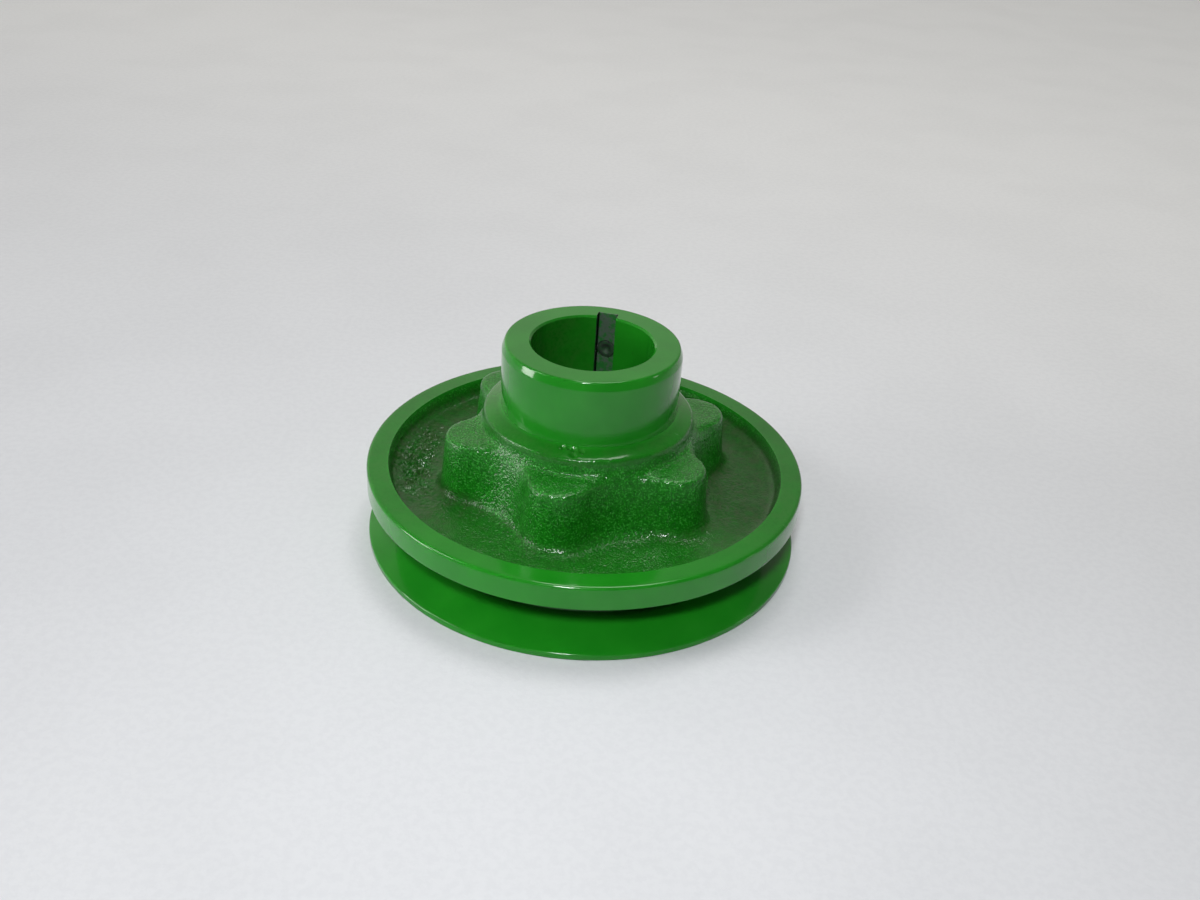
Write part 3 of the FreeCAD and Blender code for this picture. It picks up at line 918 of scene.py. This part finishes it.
def steel(name, dark, light, roughness, tint=None):
    """Plain or plated steel with fine scratches, stains and a slight tint."""
    n = Nodes(name)
    colour = n.ramp(n.noise(3 * MM, 4.0, 0.6), [(0.3, dark), (0.7, light)])
    if tint is not None:
        colour = n.mix(n.fade(n.noise(5 * MM, 2.0, 0.5, 0.6), 0.5, 0.75), colour, tint)
    n.link(colour, n.shader.inputs["Base Color"])
    n.shader.inputs["Metallic"].default_value = 1.0
    dull = n.ramp(n.noise(1.2 * MM, 3.0), [(0.3, roughness), (0.75, roughness + 0.16)])
    n.link(dull, n.shader.inputs["Roughness"])
    normal = n.bump(n.noise(0.35 * MM, 3.0, 0.6), 0.02 * MM, 0.5)
    n.link(normal, n.shader.inputs["Normal"])
    return n.material


def overpainted_steel():
    """Black screw steel under a thin, dull and broken coat of the pulley's paint."""
    n = Nodes("overpainted_steel")
    broken = n.fade(n.noise(0.9 * MM, 4.0, 0.65), 0.40, 0.60)
    n.link(n.mix(broken, SCREW_STAIN, SCREW_GREEN), n.shader.inputs["Base Color"])
    dull = n.ramp(n.noise(0.7 * MM, 3.0), [(0.3, 0.42), (0.7, 0.62)])
    n.link(dull, n.shader.inputs["Roughness"])
    n.shader.inputs["Specular IOR Level"].default_value = 0.3
    n.link(n.bump(n.noise(0.5 * MM, 3.0, 0.6), 0.04 * MM, 0.6), n.shader.inputs["Normal"])
    return n.material


def pale_cloth():
    """The plain pale floor, with painted light that makes it lighter far away and to the right, a
    faint weave and soft unevenness.
    """
    n = Nodes("pale_cloth")
    near = n.ramp(n.noise(0.35, 2.0), CLOTH_NEAR_PAINTED_SHADE)
    x, y, _ = n.split(n.place)
    away = n.math("ADD", y, n.math("MULTIPLY", x, 0.5))
    # Painted light: the cloth is lighter far away and to the right
    colour = n.mix(n.fade(away, -0.15, 0.65), near, CLOTH_FAR_PAINTED_LIGHT)
    weave = n.math("MULTIPLY", n.fade(n.noise(2.4 * MM, 3.0, 0.6), 0.40, 0.62), 0.55)
    colour = n.mix(weave, colour, (0.945, 0.945, 0.95), "MULTIPLY")
    blotch = n.math("MULTIPLY", n.fade(n.noise(0.07, 3.0), 0.40, 0.65), 0.5)
    colour = n.mix(blotch, colour, (0.96, 0.96, 0.96), "MULTIPLY")
    n.link(colour, n.shader.inputs["Base Color"])
    n.shader.inputs["Roughness"].default_value = 0.9
    n.shader.inputs["Specular IOR Level"].default_value = 0.15
    normal = n.bump(n.noise(1.1 * MM, 3.0, 0.6), 0.15 * MM, 0.35)
    normal = n.bump(n.noise(0.09, 2.0), 1.5 * MM, 0.4, normal)
    n.link(normal, n.shader.inputs["Normal"])
    return n.material


def mark_surfaces(obj, **rules):
    """Stores on each point, from 0 to 1, its marks: cast, dusty with painted shade, thinly
    painted, painted shade.
    """
    mesh = obj.data
    co = np.empty(len(mesh.vertices) * 3)
    mesh.vertices.foreach_get("co", co)
    co = co.reshape(-1, 3)
    radius = np.hypot(co[:, 0], co[:, 1])
    for name, rule in rules.items():
        layer = mesh.attributes.new(name, "FLOAT", "POINT")
        layer.data.foreach_set("value", rule(co, radius).astype(np.float32))


def casting_cast(co, radius):
    """Cast skin runs from the ledge's edge to the inner edge of the rim face, above the web."""
    z = co[:, 2]
    outside_hub = (radius > HUB_R + 0.3 * MM) & (z < HUB_STEP_Z + 0.2 * MM)
    outward = smooth_step(LEDGE_R - 1.2 * MM, LEDGE_R + 0.8 * MM, radius)
    inward = smooth_step(RIM_FACE_INNER_R + 0.05 * MM, RIM_FACE_INNER_R - 0.5 * MM, radius)
    return (z > PARTING_Z + 2 * MM) * outside_hub * outward * inward


def casting_dust_and_shade(co, radius):
    """Dust and painted shade on the web, less so at its front, painted shade on the ledge, on the
    bore's left side and on the rim face's sides, and a little dust on the hub's top face.
    """
    z = co[:, 2]
    facing = co[:, 1] / np.maximum(radius, MM)
    low = smooth_step(WEB_TOP_Z + 5 * MM, WEB_TOP_Z + 1 * MM, z) * (z > PARTING_Z + 2 * MM)
    inward = smooth_step(RIM_FACE_INNER_R, RIM_FACE_INNER_R - 1 * MM, radius) * (radius > 40 * MM)
    front = 1 - 0.75 * smooth_step(-0.3, -0.95, facing)
    ledge = (radius > HUB_R + 0.2 * MM) * (radius < LEDGE_R + 1 * MM) * (z > LEDGE_Z - 2 * MM)
    ledge = ledge * (z < HUB_STEP_Z + 0.1 * MM) * smooth_step(HUB_R, HUB_R + 1.5 * MM, radius)
    bore = (radius < BORE_R + 0.1 * MM) * smooth_step(10 * MM, -10 * MM, co[:, 0])
    sides = 1 - smooth_step(-0.45, -0.95, facing)
    rim_face = sides * (z > RIM_FACE_Z - 0.3 * MM) * (radius > RIM_FACE_INNER_R)
    hub_face = z > HUB_TOP_Z - 0.3 * MM
    return low * inward * front + 0.4 * ledge + 0.55 * bore + 0.4 * rim_face + 0.15 * hub_face


def keyway_across(co, radius):
    """Distance from the keyway's middle plane, and which points lie in the keyway."""
    turn = (np.arctan2(co[:, 1], co[:, 0]) - KEY_AZ + math.pi) % TURN - math.pi
    across = np.abs(radius * np.sin(turn))
    within = (np.abs(turn) < 1) & (across < KEY_HALF_WIDTH + 0.02 * MM)
    inside = within & (radius < KEY_FLOOR_R + 0.4 * MM)
    return across, inside * smooth_step(BORE_R + 0.1 * MM, BORE_R + 0.6 * MM, radius)


def casting_bare(co, radius):
    """Paint is thin on the keyway's floor and sides."""
    return keyway_across(co, radius)[1]


def casting_crevice(co, radius):
    """Painted shade in the keyway's inner corners."""
    across, inside = keyway_across(co, radius)
    return inside * smooth_step(KEY_HALF_WIDTH - 0.55 * MM, KEY_HALF_WIDTH - 0.2 * MM, across)


def groove_painted_shade(co, radius):
    """Painted shade darkens the bottom of the groove."""
    inside = (co[:, 2] > LIP_Z + 2 * MM) & (co[:, 2] < BAND_LOW_Z) & (radius > ROOT_R - 1 * MM)
    return 0.7 * inside * smooth_step(ROOT_R + 2.2 * MM, ROOT_R + 0.5 * MM, radius)


def casting_painted_shade(co, radius):
    """Painted shade in the keyway's corners and at the groove's bottom."""
    return np.maximum(casting_crevice(co, radius), groove_painted_shade(co, radius))


def flange_cast(co, radius):
    """The dish under the flange is cast; every other face is turned."""
    outward = smooth_step(29.5 * MM, 31 * MM, radius)
    inward = smooth_step(57.2 * MM, 55.5 * MM, radius)
    return outward * inward * (co[:, 2] < 6.2 * MM)


# ---------------------------------------------------------------- assembly

def dress(obj, material, slot, body, *nodes):
    """Gives a piece its material, and puts it on its body in place of CAD nodes; slot is not used.
    """
    obj.data.materials.clear()
    obj.data.materials.append(material)
    if nodes:
        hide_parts(*nodes)
        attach(obj, body)


def dress_cad_node(node, material, slot, bevel):
    """A CAD node that keeps its shape: a material, and edges softened by a small bevel."""
    obj = frame["nodes"][node]
    dress(obj, material, slot, None)
    obj.data.shade_smooth()
    obj.data.set_sharp_from_angle(angle=math.radians(CAD_CRISP))
    modifier = obj.modifiers.new("soft_edges", "BEVEL")
    modifier.width = bevel
    modifier.segments = 2
    modifier.limit_method = "ANGLE"
    modifier.angle_limit = math.radians(CAD_BEVEL_FROM)


enamel = green_enamel("green_enamel")
flange_enamel = green_enamel("green_enamel_flange")
plated = steel(
    "zinc_plated_steel", (0.40, 0.40, 0.385), (0.60, 0.60, 0.575), 0.30, (0.56, 0.53, 0.42))
spring = steel(
    "zinc_plated_spring_steel", (0.30, 0.30, 0.29), (0.47, 0.47, 0.45), 0.34, (0.40, 0.37, 0.30))
rolled = steel(
    "rolled_shim_steel", (0.28, 0.28, 0.275), (0.46, 0.46, 0.45), 0.26, (0.30, 0.24, 0.17))
oxide = steel("black_oxide_steel", (0.018, 0.018, 0.020), (0.050, 0.048, 0.046), 0.34)

hub_casting = build_hub_casting()
mark_surfaces(
    hub_casting, cast=casting_cast, web=casting_dust_and_shade, bare=casting_bare, crevice=casting_painted_shade)
dress(hub_casting, enamel, "painted_casting", "pulley", "hub_casting")

lower_flange = build_lower_flange()
mark_surfaces(lower_flange, cast=flange_cast, crevice=groove_painted_shade)
dress(lower_flange, flange_enamel, "painted_flange", "pulley", "lower_flange")

for number, screw in enumerate(build_flange_screws(), 1):
    dress(screw, plated, "plated_screw", "pulley", "flange_screw_%d" % number)

key_screw = build_set_screw(
    "cup_point_keyway_screw", "keyway_set_screw", KEY_AXIS, KEY_SCREW_SOCKET, KEY_SCREW_PITCH)
dress(key_screw, overpainted_steel(), "black_set_screw", "keyway_screw", "keyway_set_screw")
side_screw = build_set_screw(
    "cup_point_side_screw", "side_set_screw", SIDE_AXIS, SIDE_SCREW_SOCKET, SIDE_SCREW_PITCH)
dress(side_screw, oxide, "black_set_screw", "side_screw", "side_set_screw")

for number in range(1, LOBE_COUNT + 1):
    dress_cad_node("lock_washer_%d" % number, spring, "spring_steel", 0.18 * MM)
for number in range(1, 5):
    dress_cad_node("spacing_shim_%d" % number, rolled, "shim_steel", 0.06 * MM)


# ---------------------------------------------------------------- stage, light and camera

def build_floor():
    """A pale floor that runs past the camera's view on every side."""
    corners = [Vector((x, y, 0)) * FLOOR_REACH for x, y in ((-1, -1), (1, -1), (1, 1), (-1, 1))]
    mesh = bpy.data.meshes.new("floor")
    mesh.from_pydata(corners, [], [(0, 1, 2, 3)])
    floor = new_object("floor", mesh)
    mesh.materials.append(pale_cloth())
    floor.location.z = -FLOOR_DROP


def area_light(name, place, aim, size, watts, colour, spread=180):
    """A square area light that faces a point; spread is its beam's full angle in degrees."""
    light = bpy.data.lights.new(name, "AREA")
    light.size = size
    light.energy = watts
    light.color = colour
    light.spread = math.radians(spread)
    obj = bpy.data.objects.new(name, light)
    bpy.context.scene.collection.objects.link(obj)
    obj.location = place
    obj.rotation_mode = "QUATERNION"
    obj.rotation_quaternion = (Vector(aim) - Vector(place)).to_track_quat("-Z", "Y")


def build_world():
    """A room that is brightest behind the object and to its left, and darker overhead."""
    world = bpy.data.worlds.new("room")
    bpy.context.scene.world = world
    world.use_nodes = True
    tree = world.node_tree
    direction = tree.nodes.new("ShaderNodeTexCoord")
    split = tree.nodes.new("ShaderNodeSeparateXYZ")
    tree.links.new(direction.outputs["Generated"], split.inputs[0])
    levels = []
    for output, low, high, at_low, at_high in ROOM_LEVELS:
        level = tree.nodes.new("ShaderNodeMapRange")
        level.inputs["From Min"].default_value = low
        level.inputs["From Max"].default_value = high
        level.inputs["To Min"].default_value = at_low
        level.inputs["To Max"].default_value = at_high
        tree.links.new(split.outputs[output], level.inputs[0])
        levels.append(level.outputs[0])
    strength = levels[0]
    for level in levels[1:]:
        product = tree.nodes.new("ShaderNodeMath")
        product.operation = "MULTIPLY"
        tree.links.new(strength, product.inputs[0])
        tree.links.new(level, product.inputs[1])
        strength = product.outputs[0]
    background = tree.nodes["Background"]
    background.inputs[0].default_value = ROOM_COLOUR
    tree.links.new(strength, background.inputs[1])


def build_light():
    """A high ceiling, a soft box and a window at the left, a weak lamp at the right, a flash."""
    area_light("ceiling", (0.2, 0.8, 2.5), (0.2, 0.8, 0), 1.0, 23.0, (1.0, 0.99, 0.97))
    area_light("soft_box", (-0.9, -0.2, 0.8), (0, 0, 0.02), 0.30, 2.4, (1.0, 0.99, 0.98))
    area_light("window", (-1.33, -0.20, 0.24), (0, 0, 0.03), 0.42, 6.5, (1.0, 0.99, 0.97))
    area_light("lamp", (1.3, -0.1, 0.25), (0, 0, 0.03), 0.16, 0.3, (1.0, 0.97, 0.92))
    area_light("flash", (-0.07, -0.60, 0.62), (0, -0.05, 0.01), 0.10, 0.62, (0.97, 0.99, 1.0), 70)


def build_camera():
    """The camera, set by its distance in rim radii, how far it looks down, and small turns."""
    pitch = math.radians(CAMERA_PITCH)
    distance = CAMERA_DISTANCE * RIM_R
    aim = Vector((0, 0, CAMERA_AIM_Z))
    back = Vector((0, -math.cos(pitch), math.sin(pitch)))
    data = bpy.data.cameras.new("camera")
    data.sensor_width = CAMERA_SENSOR
    data.lens = CAMERA_LENS
    camera = bpy.data.objects.new("camera", data)
    bpy.context.scene.collection.objects.link(camera)
    looking = (-back).to_track_quat("-Z", "Y").to_matrix().to_4x4()
    turns = Matrix.Identity(4)
    for degrees, axis in CAMERA_TURNS:
        turns = turns @ Matrix.Rotation(math.radians(degrees), 4, axis)
    camera.matrix_world = Matrix.Translation(aim + back * distance) @ looking @ turns
    bpy.context.scene.camera = camera


build_floor()
build_world()
build_light()
build_camera()
bpy.context.scene.view_settings.view_transform = "Standard"
